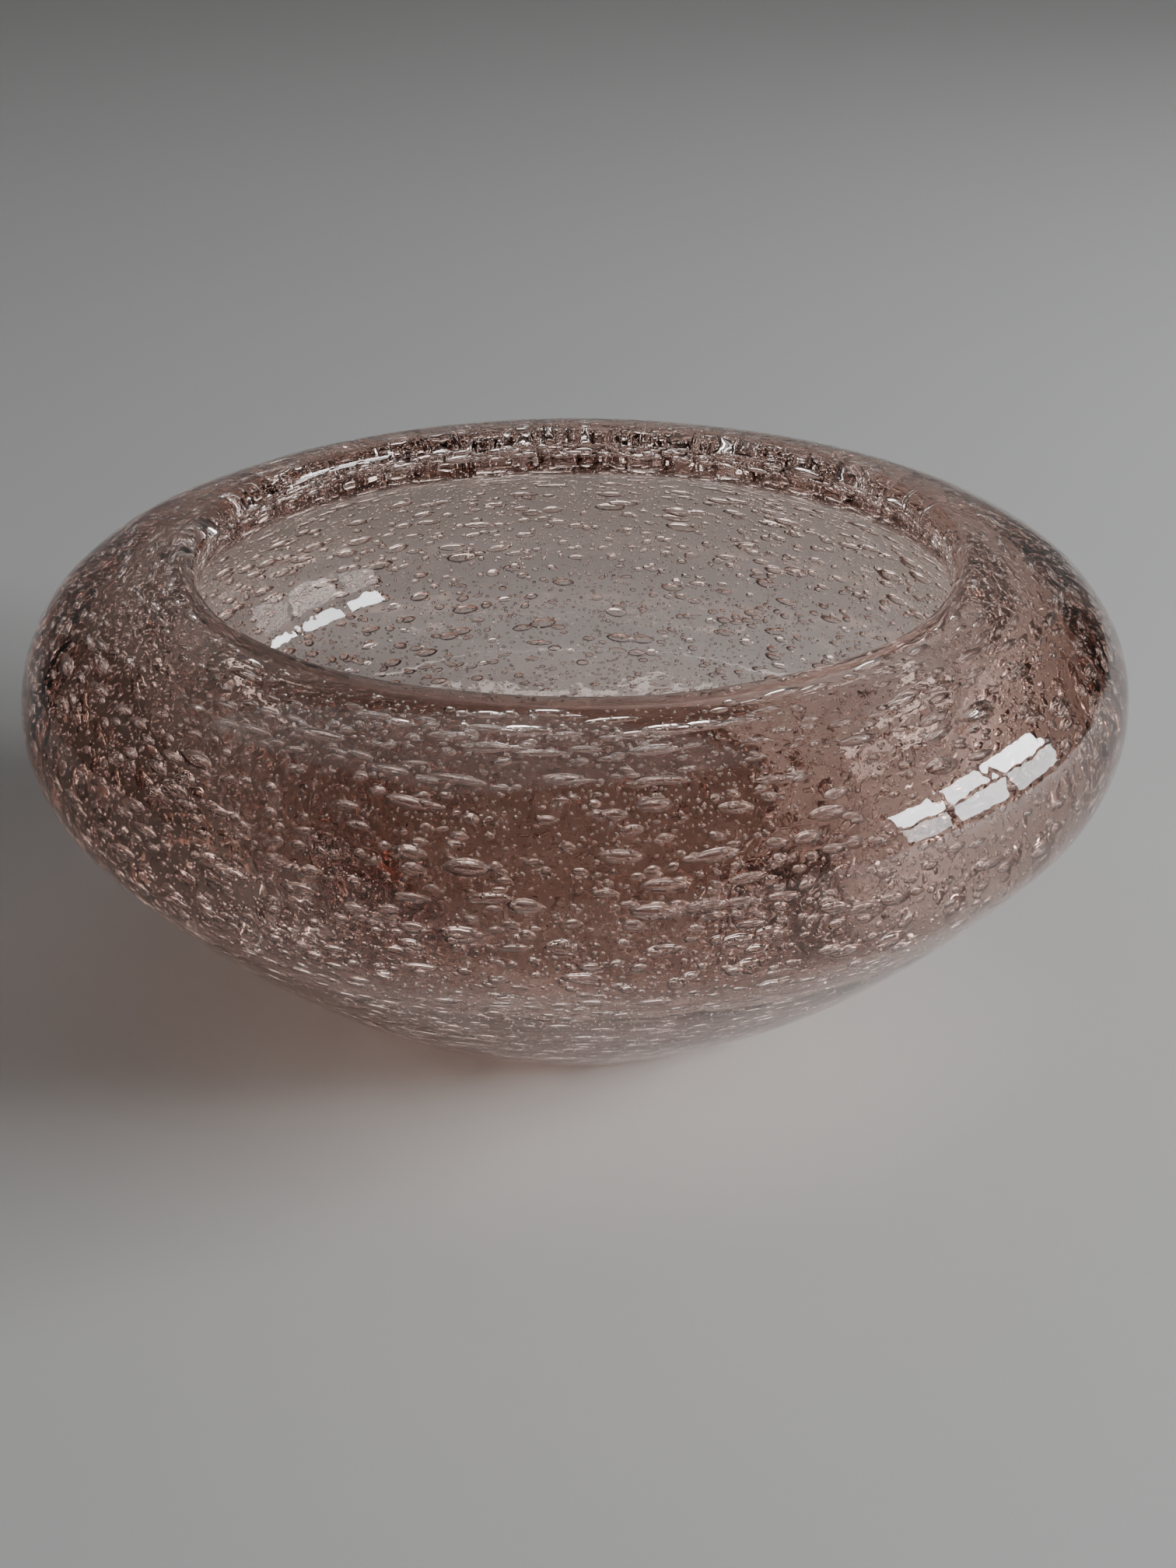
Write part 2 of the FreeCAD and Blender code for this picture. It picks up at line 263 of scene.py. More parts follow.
def faces_look_out(piece):
    """Whether most of a turned surface faces away from the middle of the bowl."""
    bpy.ops.object.mode_set(mode="OBJECT")
    middle = Vector((0.0, 0.0, 0.5 * CASING_BOX[1][2]))
    outward = sum(
        face.area * face.normal.dot(face.center - middle) for face in piece.data.polygons
    )
    bpy.ops.object.mode_set(mode="EDIT")
    return outward > 0.0


def draw_outside(outline, centres):
    """Foot, lower, shoulder and crown curves of the outside of the glass."""
    outline.arc(centres.foot_curve, bearing(centres.foot_curve, centres.lower),
                math.radians(1.5))
    outline.arc(centres.lower, 0.0)
    outline.arc(centres.shoulder, bearing(centres.crown, centres.shoulder))
    outline.arc(centres.crown, bearing(centres.crown, centres.lip), math.radians(3))


def foot_arris(centres, sizes):
    """Centre of the small rounding between the ground foot and the foot curve."""
    reach = sizes.foot_bend - sizes.foot_arris
    rise = centres.foot_curve[1] - sizes.foot_arris
    return centres.foot_curve[0] + math.sqrt(reach ** 2 - rise ** 2), sizes.foot_arris


def make_glass_body(sizes):
    """The whole mass of glass: foot, wall, rim and cavity as one closed skin."""
    centres = Centres(sizes)
    arris = foot_arris(centres, sizes)
    outline = Outline("bowl_glass", (0.0, 0.0))
    outline.line_to((arris[0] * 0.5, 0.0))
    outline.line_to((arris[0], 0.0))
    outline.arc(arris, bearing(centres.foot_curve, arris), math.radians(8))
    draw_outside(outline, centres)
    outline.arc(centres.lip, math.pi, math.radians(9))
    outline.line_to((centres.mouth, centres.under_lip[1]))
    turn = bearing(centres.inside_shoulder, centres.under_lip)
    outline.arc(centres.under_lip, turn + math.pi, math.radians(9))
    outline.arc(centres.inside_shoulder, 0.0, math.radians(6))
    outline.arc(centres.inside_lower, bearing(centres.inside_floor, centres.inside_lower))
    outline.arc(centres.inside_floor, -math.pi / 2, math.radians(1.2))
    body = outline.turned(sizes.segments)
    wander(body, sizes)
    bpy.ops.object.shade_smooth_by_angle(angle=math.radians(40))
    return body


def wander(body, sizes):
    """Let the skin wander a little, as hand-worked glass does, but keep the foot flat."""
    above_foot = body.vertex_groups.new(name="above_foot")
    free = [v.index for v in body.data.vertices if v.co.z > 2 * sizes.foot_arris]
    above_foot.add(free, 1.0, "REPLACE")
    texture = bpy.data.textures.new("slow_wander", "CLOUDS")
    texture.noise_scale = 28 * MM
    texture.noise_depth = 1
    push = body.modifiers.new("wander", "DISPLACE")
    push.texture = texture
    push.texture_coords = "LOCAL"
    push.strength = 2 * sizes.waviness
    push.mid_level = 0.5
    push.vertex_group = above_foot.name
    bpy.context.view_layer.objects.active = body
    bpy.ops.object.modifier_apply(modifier=push.name)
    body.vertex_groups.clear()
    bpy.data.textures.remove(texture)


# Node trees --------------------------------------------------------------------------------


class Tree:
    """Adds the nodes of one tree and links them as they are added."""

    def __init__(self, tree):
        self.tree = tree

    def socket(self, sockets, key):
        if isinstance(key, int):
            return sockets[key]
        return next(s for s in sockets if s.name == key and s.enabled)

    def add(self, kind, inputs=None, **settings):
        node = self.tree.nodes.new(kind)
        for name, value in settings.items():
            setattr(node, name, value)
        for key, value in (inputs or {}).items():
            target = self.socket(node.inputs, key)
            if isinstance(value, bpy.types.NodeSocket):
                self.tree.links.new(value, target)
            else:
                target.default_value = value
        return node

    def out(self, node, key=0):
        return self.socket(node.outputs, key)

    def math(self, operation, first, second=0.0):
        node = self.add("ShaderNodeMath", {0: first, 1: second}, operation=operation)
        return node.outputs[0]

    def vector(self, operation, first, second=None, scale=None):
        inputs = {0: first}
        if second is not None:
            inputs[1] = second
        if scale is not None:
            inputs["Scale"] = scale
        node = self.add("ShaderNodeVectorMath", inputs, operation=operation)
        return node.outputs[0]

    def random(self, low, high, seed):
        node = self.add(
            "FunctionNodeRandomValue", {"Min": low, "Max": high, "Seed": seed},
            data_type="FLOAT"
        )
        return self.out(node, "Value")


# Bubbles -----------------------------------------------------------------------------------

# A bubble is air in glass, so its wall faces the air: its normals point to its own middle,
# away from the glass. Only so does light bend and turn back at it as it does in the glass.

ZONE_SEGMENTS = 96
# Share of the bubble gather's depth that each zone's bubbles fill.
ZONE_FILL = {"floor": 0.55, "lower_wall": 0.8, "belly": 0.75, "shoulder": 0.45, "crown": 0.2}
BUBBLE_COVER = 0.5 * MM
SHOULDER_START = math.radians(20)
ZONE_SHAPES = {
    ("floor", "drawn_bubbles"): {
        "Spacing": 3.6 * MM, "Shortest": 0.8 * MM, "Longest": 1.7 * MM, "Height": 0.5
    },
    ("floor", "round_bubbles"): {"Spacing": 2.2 * MM, "Height": 0.7},
    ("lower_wall", "drawn_bubbles"): {"Longest": 2.4 * MM, "Height": 0.34},
    ("crown", "drawn_bubbles"): {"Shortest": 1.2 * MM, "Longest": 3.8 * MM, "Height": 0.2},
}

SCATTER_INPUTS = (
    ("Bubble", "NodeSocketObject"),
    ("Spacing", "NodeSocketFloat"),
    ("Clump", "NodeSocketFloat"),
    ("Shortest", "NodeSocketFloat"),
    ("Longest", "NodeSocketFloat"),
    ("Height", "NodeSocketFloat"),
    ("Thickness", "NodeSocketFloat"),
    ("Depth", "NodeSocketFloat"),
    ("Tilt", "NodeSocketFloat"),
    ("Unevenness", "NodeSocketFloat"),
    ("Seed", "NodeSocketInt"),
)


def patchy_share(tree, clump, seed):
    """Share of the places that get a bubble: thick in some patches and thin in others."""
    place = tree.add("GeometryNodeInputPosition").outputs[0]
    patches = tree.add(
        "ShaderNodeTexNoise",
        {"Vector": place, "W": tree.math("MULTIPLY", seed, 1.7),
         "Scale": tree.math("DIVIDE", 1.0, clump), "Detail": 2.0},
        noise_dimensions="4D"
    )
    share = tree.add(
        "ShaderNodeMapRange",
        {"Value": patches.outputs[0], "From Min": 0.33, "From Max": 0.6, "To Min": 0.12,
         "To Max": 1.0}
    )
    return share.outputs[0]


def uneven(tree, bubbles, unevenness):
    """Push every bubble a little out of round."""
    place = tree.add("GeometryNodeInputPosition").outputs[0]
    noise = tree.add("ShaderNodeTexNoise", {"Vector": place, "Scale": 420.0, "Detail": 1.0})
    stray = tree.vector("SUBTRACT", tree.out(noise, "Color"), (0.5, 0.5, 0.5))
    offset = tree.vector("SCALE", stray, scale=unevenness)
    return tree.add(
        "GeometryNodeSetPosition", {"Geometry": bubbles, "Offset": offset}
    ).outputs[0]


def luck(tree, seed, step, low=0.0, high=1.0):
    """A random number for each bubble, of its own for each step from the seed."""
    return tree.random(low, high, tree.math("ADD", seed, float(step)))


def inward_offset(tree, given, normal):
    """How far a bubble sinks under the surface: more of them lie shallow than deep."""
    chance = tree.math("POWER", luck(tree, given["Seed"], 1), 1.3)
    depth = tree.math("MULTIPLY", chance, given["Depth"])
    return tree.vector("SCALE", normal, scale=tree.math("MULTIPLY", depth, -1.0))


def hoop_turn(tree, given, normal):
    """Lay a bubble flat under the surface and along its hoop, give or take the tilt."""
    place = tree.add("GeometryNodeInputPosition").outputs[0]
    hoop = tree.vector("NORMALIZE", tree.vector("CROSS_PRODUCT", (0.0, 0.0, 1.0), place))
    swing = luck(
        tree, given["Seed"], 2, tree.math("MULTIPLY", given["Tilt"], -1.0), given["Tilt"]
    )
    along = tree.add(
        "ShaderNodeVectorRotate", {"Vector": hoop, "Axis": normal, "Angle": swing},
        rotation_type="AXIS_ANGLE"
    )
    return tree.add(
        "FunctionNodeAxesToRotation", {0: normal, 1: along.outputs[0]}, primary_axis="Z",
        secondary_axis="X"
    ).outputs[0]


def bubble_size(tree, given):
    """Half sizes of a bubble: many short and few long, and the longer the slimmer."""
    share = tree.math("POWER", luck(tree, given["Seed"], 3), 1.8)
    span = tree.math("SUBTRACT", given["Longest"], given["Shortest"])
    half_length = tree.math("ADD", given["Shortest"], tree.math("MULTIPLY", share, span))
    slim = tree.math("POWER", tree.math("DIVIDE", half_length, given["Longest"]), -0.35)
    squat = luck(tree, given["Seed"], 4, 0.7, 1.3)
    half_height = tree.math(
        "MULTIPLY", tree.math("MULTIPLY", half_length, slim),
        tree.math("MULTIPLY", given["Height"], squat)
    )
    half_thickness = tree.math("MULTIPLY", half_height, given["Thickness"])
    return tree.add(
        "ShaderNodeCombineXYZ", {0: half_length, 1: half_height, 2: half_thickness}
    ).outputs[0]


def scatter_tree():
    """Geometry nodes that lay bubbles under a surface, drawn out along its hoops."""
    name = "lay_bubbles"
    if name in bpy.data.node_groups:
        return bpy.data.node_groups[name]
    group = bpy.data.node_groups.new(name, "GeometryNodeTree")
    group.interface.new_socket("Surface", in_out="INPUT", socket_type="NodeSocketGeometry")
    for label, kind in SCATTER_INPUTS:
        group.interface.new_socket(label, in_out="INPUT", socket_type=kind)
    group.interface.new_socket("Bubbles", in_out="OUTPUT", socket_type="NodeSocketGeometry")
    tree = Tree(group)
    given = tree.add("NodeGroupInput").outputs
    crowding = tree.math("DIVIDE", 2.0, tree.math("POWER", given["Spacing"], 2.0))
    points = tree.add(
        "GeometryNodeDistributePointsOnFaces",
        {"Mesh": given["Surface"], "Distance Min": given["Spacing"],
         "Density Max": crowding, "Density Factor": patchy_share(
             tree, given["Clump"], given["Seed"]), "Seed": given["Seed"]},
        distribute_method="POISSON"
    )
    normal = tree.out(points, "Normal")
    sunk = tree.add(
        "GeometryNodeSetPosition",
        {"Geometry": points.outputs["Points"], "Offset": inward_offset(tree, given, normal)}
    )
    template = tree.add("GeometryNodeObjectInfo", {"Object": given["Bubble"]})
    copies = tree.add(
        "GeometryNodeInstanceOnPoints",
        {"Points": sunk.outputs[0], "Instance": tree.out(template, "Geometry"),
         "Rotation": hoop_turn(tree, given, normal), "Scale": bubble_size(tree, given)}
    )
    real = tree.add("GeometryNodeRealizeInstances", {"Geometry": copies.outputs[0]})
    bubbles = uneven(tree, real.outputs[0], given["Unevenness"])
    tree.add("NodeGroupOutput", {"Bubbles": bubbles})
    return group


def round_bubble(name, subdivisions):
    """A small round bubble of unit radius, with its faces towards the air inside."""
    bpy.ops.object.select_all(action="DESELECT")
    bpy.ops.mesh.primitive_ico_sphere_add(subdivisions=subdivisions, radius=1.0)
    bubble = bpy.context.active_object
    bubble.name = name
    bpy.ops.object.mode_set(mode="EDIT")
    bpy.ops.mesh.select_all(action="SELECT")
    bpy.ops.mesh.normals_make_consistent(inside=True)
    bpy.ops.object.mode_set(mode="OBJECT")
    bpy.ops.object.shade_smooth()
    return bubble


def drawn_bubble(name):
    """A bubble drawn out to a point at each end, like a grain of rice, of unit half length."""
    centre = (0.0, -0.35)
    height = math.hypot(1.0, centre[1]) + centre[1]
    outline = Outline(name, (-1.0, 0.0))
    outline.arc(centre, bearing(centre, (1.0, 0.0)), math.radians(24))
    bpy.ops.mesh.select_all(action="SELECT")
    bpy.ops.mesh.spin(
        steps=8, angle=math.tau, center=(0, 0, 0), axis=(1, 0, 0), use_auto_merge=True
    )
    bpy.ops.mesh.select_all(action="SELECT")
    bpy.ops.mesh.remove_doubles(threshold=0.001)
    bpy.ops.transform.resize(value=(1.0, 1.0 / height, 1.0 / height))
    bpy.ops.mesh.normals_make_consistent(inside=True)
    bpy.ops.mesh.quads_convert_to_tris()
    bpy.ops.object.mode_set(mode="OBJECT")
    settle_faces(outline.piece)
    bpy.ops.object.shade_smooth()
    return outline.piece


def lay_bubbles(surface, bubble, values):
    """Fill the layer under a surface with copies of a bubble and keep only the bubbles."""
    group = scatter_tree()
    modifier = surface.modifiers.new("lay_bubbles", "NODES")
    modifier.node_group = group
    names = {
        item.name: item.identifier for item in group.interface.items_tree
        if item.in_out == "INPUT"
    }
    modifier[names["Bubble"]] = bubble
    for name, value in values.items():
        modifier[names[name]] = value
    bpy.context.view_layer.objects.active = surface
    bpy.ops.object.modifier_apply(modifier=modifier.name)
    return surface


def delete_piece(piece):
    bpy.ops.object.select_all(action="DESELECT")
    piece.select_set(True)
    bpy.ops.object.delete()


def bubble_zones(sizes):
    """Outlines just under the casing, from the foot up to the rim.

    Each comes with its zone's name and with the depth of glass that its bubbles may fill.
    """
    centres = Centres(sizes)
    inset = sizes.casing + BUBBLE_COVER
    shoulder_end = bearing(centres.crown, centres.shoulder)
    crown_end = bearing(centres.crown, centres.lip) - math.radians(1)
    layer = sizes.wall - 2 * sizes.casing

    def under(centre, radius, angle):
        reach = radius - inset
        return (
            centre[0] + reach * math.cos(angle), centre[1] + reach * math.sin(angle)
        )

    foot_edge = under(
        centres.foot_curve, sizes.foot_bend, bearing(centres.foot_curve, centres.foot)
    )
    lower_edge = under(
        centres.foot_curve, sizes.foot_bend, bearing(centres.foot_curve, centres.lower)
    )
    floor = Outline("floor", (0.0, foot_edge[1]))
    floor.line_to(foot_edge)
    yield "floor", ZONE_FILL["floor"] * layer, floor
    lower = Outline("lower_wall", foot_edge)
    lower.arc(centres.foot_curve, bearing(centres.foot_curve, centres.lower))
    yield "lower_wall", ZONE_FILL["lower_wall"] * layer, lower
    belly = Outline("belly", lower_edge)
    belly.arc(centres.lower, 0.0, math.radians(9))
    belly.arc(centres.shoulder, SHOULDER_START, math.radians(9))
    yield "belly", ZONE_FILL["belly"] * layer, belly
    shoulder = Outline("shoulder", under(centres.shoulder, sizes.shoulder_bend, SHOULDER_START))
    shoulder.arc(centres.shoulder, shoulder_end, math.radians(9))
    yield "shoulder", ZONE_FILL["shoulder"] * layer, shoulder
    crown = Outline("crown", under(centres.crown, sizes.crown_bend, shoulder_end))
    crown.arc(centres.crown, crown_end, math.radians(6))
    yield "crown", ZONE_FILL["crown"] * layer, crown


# Materials ---------------------------------------------------------------------------------


def film_group():
    """Shader group: a faint film of handling and dust, and the slow ripple of the melt."""
    name = "handled_skin"
    if name in bpy.data.node_groups:
        return bpy.data.node_groups[name]
    group = bpy.data.node_groups.new(name, "ShaderNodeTree")
    for label in ("Smear", "Ripple"):
        group.interface.new_socket(label, in_out="INPUT", socket_type="NodeSocketFloat")
    group.interface.new_socket("Roughness", in_out="OUTPUT", socket_type="NodeSocketFloat")
    group.interface.new_socket("Height", in_out="OUTPUT", socket_type="NodeSocketFloat")
    tree = Tree(group)
    given = tree.add("NodeGroupInput").outputs
    place = tree.add("ShaderNodeTexCoord").outputs["Object"]
    smears = tree.add(
        "ShaderNodeTexNoise",
        {"Vector": place, "Scale": 70.0, "Detail": 4.0, "Roughness": 0.6, "Distortion": 0.8}
    )
    patch = tree.add(
        "ShaderNodeMapRange",
        {"Value": smears.outputs[0], "From Min": 0.48, "From Max": 0.75, "To Min": 0.0,
         "To Max": 1.0}
    )
    roughness = tree.math("MULTIPLY", patch.outputs[0], given["Smear"])
    ripple = tree.add(
        "ShaderNodeTexNoise",
        {"Vector": place, "Scale": 55.0, "Detail": 4.0, "Roughness": 0.5}
    )
    height = tree.math("MULTIPLY", ripple.outputs[0], given["Ripple"])
    tree.add("NodeGroupOutput", {"Roughness": roughness, "Height": height})
    return group


def skin(tree, smear, ripple):
    """Place the handled skin in a material and return its roughness and its normal."""
    group = tree.add("ShaderNodeGroup", node_tree=film_group())
    group.inputs["Smear"].default_value = smear
    group.inputs["Ripple"].default_value = ripple
    bump = tree.add(
        "ShaderNodeBump", {"Height": group.outputs["Height"], "Strength": 1.0,
                           "Distance": 1.0}
    )
    return group.outputs["Roughness"], bump.outputs[0]


def rose_glass():
    """Clear glass with a pale rose tint that deepens to red-brown along its long paths."""
    material = bpy.data.materials.new("rose_glass")
    material.use_nodes = True
    tree = Tree(material.node_tree)
    shader = material.node_tree.nodes["Principled BSDF"]
    output = material.node_tree.nodes["Material Output"]
    shader.inputs["Transmission Weight"].default_value = 1.0
    shader.inputs["IOR"].default_value = GLASS_IOR
    place = tree.add("ShaderNodeTexCoord").outputs["Object"]
    streaks = tree.add(
        "ShaderNodeTexNoise",
        {"Vector": place, "Scale": 26.0, "Detail": 3.0, "Roughness": 0.5, "Distortion": 1.5}
    )
    colour = tree.add(
        "ShaderNodeMix",
        {"Factor": streaks.outputs[0], "A": (1.0, 0.995, 0.993, 1.0),
         "B": (0.985, 0.962, 0.965, 1.0)},
        data_type="RGBA"
    )
    tree.tree.links.new(tree.out(colour, "Result"), shader.inputs["Base Color"])
    roughness, normal = skin(tree, 0.035, 0.0004)
    height = tree.add("ShaderNodeSeparateXYZ", {0: place}).outputs[2]
    ground = tree.add(
        "ShaderNodeMapRange",
        {"Value": height, "From Min": 0.0, "From Max": 0.0004, "To Min": 0.32, "To Max": 0.0}
    )
    finish = tree.math("MAXIMUM", roughness, ground.outputs[0])
    tree.tree.links.new(finish, shader.inputs["Roughness"])
    tree.tree.links.new(normal, shader.inputs["Normal"])
    tint = tree.add("ShaderNodeVolumeAbsorption")
    tint.inputs["Color"].default_value = (0.62, 0.33, 0.2, 1.0)
    tint.inputs["Density"].default_value = 46.0
    tree.tree.links.new(tint.outputs[0], output.inputs["Volume"])
    return material


def trapped_air():
    """The wall of a bubble: glass against air, as smooth as it froze."""
    if "trapped_air" in bpy.data.materials:
        return bpy.data.materials["trapped_air"]
    material = bpy.data.materials.new("trapped_air")
    material.use_nodes = True
    tree = Tree(material.node_tree)
    shader = material.node_tree.nodes["Principled BSDF"]
    shader.inputs["Transmission Weight"].default_value = 1.0
    shader.inputs["IOR"].default_value = GLASS_IOR
    place = tree.add("ShaderNodeTexCoord").outputs["Object"]
    cloud = tree.add(
        "ShaderNodeTexNoise", {"Vector": place, "Scale": 120.0, "Detail": 2.0}
    )
    colour = tree.add(
        "ShaderNodeMix",
        {"Factor": cloud.outputs[0], "A": (1.0, 1.0, 1.0, 1.0), "B": (1.0, 0.96, 0.955, 1.0)},
        data_type="RGBA"
    )
    tree.tree.links.new(tree.out(colour, "Result"), shader.inputs["Base Color"])
    roughness, normal = skin(tree, 0.3, 0.00002)
    tree.tree.links.new(roughness, shader.inputs["Roughness"])
    tree.tree.links.new(normal, shader.inputs["Normal"])
    return material


def finish_piece(piece, material, slot, *nodes):
    """Give a piece its material and its body, and hide the frame nodes it stands for. The slot is
    not used.
    """
    piece.data.materials.clear()
    piece.data.materials.append(material)
    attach(piece, BODY)
    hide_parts(*nodes)


# Stage -------------------------------------------------------------------------------------


FLOOR_SIZE = 2.6
FLOOR_PLACE = -0.05 * MM
BACKDROP_PLACE = 1.55
BACKDROP_HEIGHT = 1.4
BACKDROP_BEND = 0.5
CAMERA_PLACE = (0.0017, -0.301, 0.1696)
CAMERA_TILT = math.radians(90 - 25.68)
CAMERA_LENS = 54.07
CAMERA_SENSOR = 36.0
ROOM_SEEN = 0.36
ROOM_LIGHT = 0.07
WINDOW_MIDDLE = (0.95, -0.13, 0.27)
WINDOW_ASIDE = (0.13, 0.99, 0.0)
WINDOW_AIM = (-0.95, 0.13, -0.2)
# Each pane of the side light: aside, up, width, height, and share of the power.
WINDOW_PANES = (
    (-0.245, 0.115, 0.21, 0.19, 1.0),
    (0.0, 0.115, 0.21, 0.19, 0.75),
    (0.245, 0.115, 0.21, 0.19, 1.0),
    (-0.245, -0.115, 0.21, 0.19, 0.3),
    (0.0, -0.115, 0.21, 0.19, 0.5),
    (0.245, -0.115, 0.21, 0.19, 0.3),
)
# Narrow lights that show only through the glass: name, place, width and height.
GLINTS = (
    ("left_glint", (-0.85, 0.1, 0.45), 0.6, 0.1),
    ("right_glint", (0.85, 0.35, 0.6), 0.6, 0.1),
    ("top_glint", (0.0, 0.2, 1.0), 0.9, 0.1),
)
GLINT_AIM = (0.0, 0.0, 0.03)


def floor_finish(look):
    """A plain pale matt surface, very slightly mottled."""
    material = bpy.data.materials.new("pale_floor")
    material.use_nodes = True
    tree = Tree(material.node_tree)
    shader = material.node_tree.nodes["Principled BSDF"]
    place = tree.add("ShaderNodeTexCoord").outputs["Object"]
    mottle = tree.add("ShaderNodeTexNoise", {"Vector": place, "Scale": 6.0, "Detail": 3.0})
    dark = (*[0.96 * c for c in look.floor_colour], 1.0)
    colour = tree.add(
        "ShaderNodeMix",
        {"Factor": mottle.outputs[0], "A": (*look.floor_colour, 1.0), "B": dark},
        data_type="RGBA"
    )
    tree.tree.links.new(tree.out(colour, "Result"), shader.inputs["Base Color"])
    shader.inputs["Roughness"].default_value = 0.7
    return material


def pale_floor(look):
    """A pale floor that sweeps up into a plain backdrop."""
    bpy.ops.object.select_all(action="DESELECT")
    bpy.ops.mesh.primitive_plane_add(
        size=FLOOR_SIZE, location=(0.0, BACKDROP_PLACE - 0.5 * FLOOR_SIZE, FLOOR_PLACE)
    )
    floor = bpy.context.active_object
    floor.name = "floor"
    bpy.ops.object.transform_apply(location=True, rotation=False, scale=False)
    bpy.ops.object.mode_set(mode="EDIT")
    bpy.ops.mesh.select_all(action="DESELECT")
    bpy.ops.mesh.select_mode(type="EDGE")
    bpy.ops.object.mode_set(mode="OBJECT")
    back = max(v.co.y for v in floor.data.vertices)
    for edge in floor.data.edges:
        ends = [floor.data.vertices[i].co for i in edge.vertices]
        edge.select = all(abs(end.y - back) < MM for end in ends)
    bpy.ops.object.mode_set(mode="EDIT")
    bpy.ops.mesh.extrude_region_move(TRANSFORM_OT_translate={"value": (0.0, 0.0, BACKDROP_HEIGHT)})
    bpy.ops.object.mode_set(mode="OBJECT")
    bend = floor.modifiers.new("sweep", "BEVEL")
    bend.width = BACKDROP_BEND
    bend.segments = 24
    bend.limit_method = "ANGLE"
    bpy.ops.object.modifier_apply(modifier=bend.name)
    bpy.ops.object.shade_smooth()
    floor.data.materials.append(floor_finish(look))


def soft_light(name, place, target, width, height, power, colour):
    """A rectangular soft light that faces a target."""
    bpy.ops.object.light_add(type="AREA", location=place)
    light = bpy.context.active_object
    light.name = name
    light.data.shape = "RECTANGLE"
    light.data.size = width
    light.data.size_y = height
    light.data.energy = power
    light.data.color = colour
    aim = Vector(target) - Vector(place)
    light.rotation_euler = aim.to_track_quat("-Z", "Y").to_euler()
    return light


def window_light(look):
    """A soft side light of six panes, whose glazing bars show in the gloss."""
    for number, (across, up, width, height, share) in enumerate(WINDOW_PANES):
        place = Vector(WINDOW_MIDDLE) + Vector(WINDOW_ASIDE) * across + Vector((0, 0, up))
        soft_light(
            f"window_pane_{number}", place, place + Vector(WINDOW_AIM), width, height,
            share * look.window_power, (0.94, 0.97, 1.0)
        )


def inner_light(name, place, width, height, power, colour):
    """A light that brings out the bubbles but neither mirrors in the skin nor lights the floor."""
    light = soft_light(name, place, GLINT_AIM, width, height, power, colour)
    light.visible_glossy = False
    light.visible_diffuse = False


def room_lights(look):
    """A large soft light above, a strip behind and the narrow glints."""
    soft_light(
        "overhead", (-0.2, 0.3, 1.1), (0.0, 0.0, 0.0), 0.9, 0.9, look.overhead_power,
        (0.96, 0.98, 1.0)
    )
    inner_light(
        "back_strip", (-0.15, 0.85, 0.8), 1.0, 0.3, look.strip_power, (1.0, 1.0, 1.0)
    )
    for name, place, width, height in GLINTS:
        inner_light(name, place, width, height, look.glint_power, (1.0, 0.98, 0.96))


def camera():
    """The camera stands above the front of the bowl, at arm's length."""
    bpy.ops.object.camera_add(location=CAMERA_PLACE, rotation=(CAMERA_TILT, 0.0, 0.0))
    view = bpy.context.active_object
    view.name = "camera"
    view.data.sensor_width = CAMERA_SENSOR
    view.data.lens = CAMERA_LENS
    view.data.clip_start = 0.01
    view.data.dof.use_dof = False
    bpy.context.scene.camera = view


def world():
    """A plain room, pale where it is looked at and dim in what it lights."""
    room = bpy.data.worlds.new("room")
    room.use_nodes = True
    tree = Tree(room.node_tree)
    background = room.node_tree.nodes["Background"]
    background.inputs["Color"].default_value = (0.62, 0.63, 0.63, 1.0)
    seen = tree.add("ShaderNodeLightPath").outputs["Is Camera Ray"]
    strength = tree.add(
        "ShaderNodeMapRange", {"Value": seen, "To Min": ROOM_LIGHT, "To Max": ROOM_SEEN}
    )
    tree.tree.links.new(strength.outputs[0], background.inputs["Strength"])
    bpy.context.scene.world = room


# Operators ---------------------------------------------------------------------------------


class BOWL_OT_glass(bpy.types.Operator):
    """Model the closed mass of rose glass"""

    bl_idname = "bowl.glass"
    bl_label = "Glass body"
    bl_options = {"REGISTER", "UNDO"}

    def execute(self, context):
        body = make_glass_body(context.scene.bowl_sizes)
        finish_piece(body, rose_glass(), "clear_glass", "casing_gather", "lining_gather")
        return {"FINISHED"}


def fill_zones(context, kind, bubble, shape, first_seed):
    """Lay one kind of bubble in every zone, each zone as a piece of its own."""
    look = context.scene.bubble_look
    air = trapped_air()
    for number, (zone, depth, outline) in enumerate(bubble_zones(context.scene.bowl_sizes)):
        piece = outline.turned(ZONE_SEGMENTS)
        piece.name = f"{zone}_{kind}"
        piece.data.name = piece.name
        values = {
            "Clump": look.clump, "Unevenness": look.unevenness * shape["Height"],
            "Depth": depth, "Seed": first_seed + 10 * number, **shape
        }
        values.update(ZONE_SHAPES.get((zone, kind), {}))
        lay_bubbles(piece, bubble, values)
        finish_piece(piece, air, "bubble_glass", "bubble_gather")
    delete_piece(bubble)


class BOWL_OT_drawn_bubbles(bpy.types.Operator):
    """Lay the long bubbles that were drawn out along the hoops of the bowl"""

    bl_idname = "bowl.drawn_bubbles"
    bl_label = "Drawn bubbles"
    bl_options = {"REGISTER", "UNDO"}

    def execute(self, context):
        shape = {
            "Spacing": context.scene.bubble_look.drawn_spacing, "Shortest": 0.9 * MM,
            "Longest": 3.0 * MM, "Height": 0.3, "Thickness": 0.8, "Tilt": 0.1
        }
        fill_zones(context, "drawn_bubbles", drawn_bubble("drawn_bubble"), shape, 11)
        return {"FINISHED"}


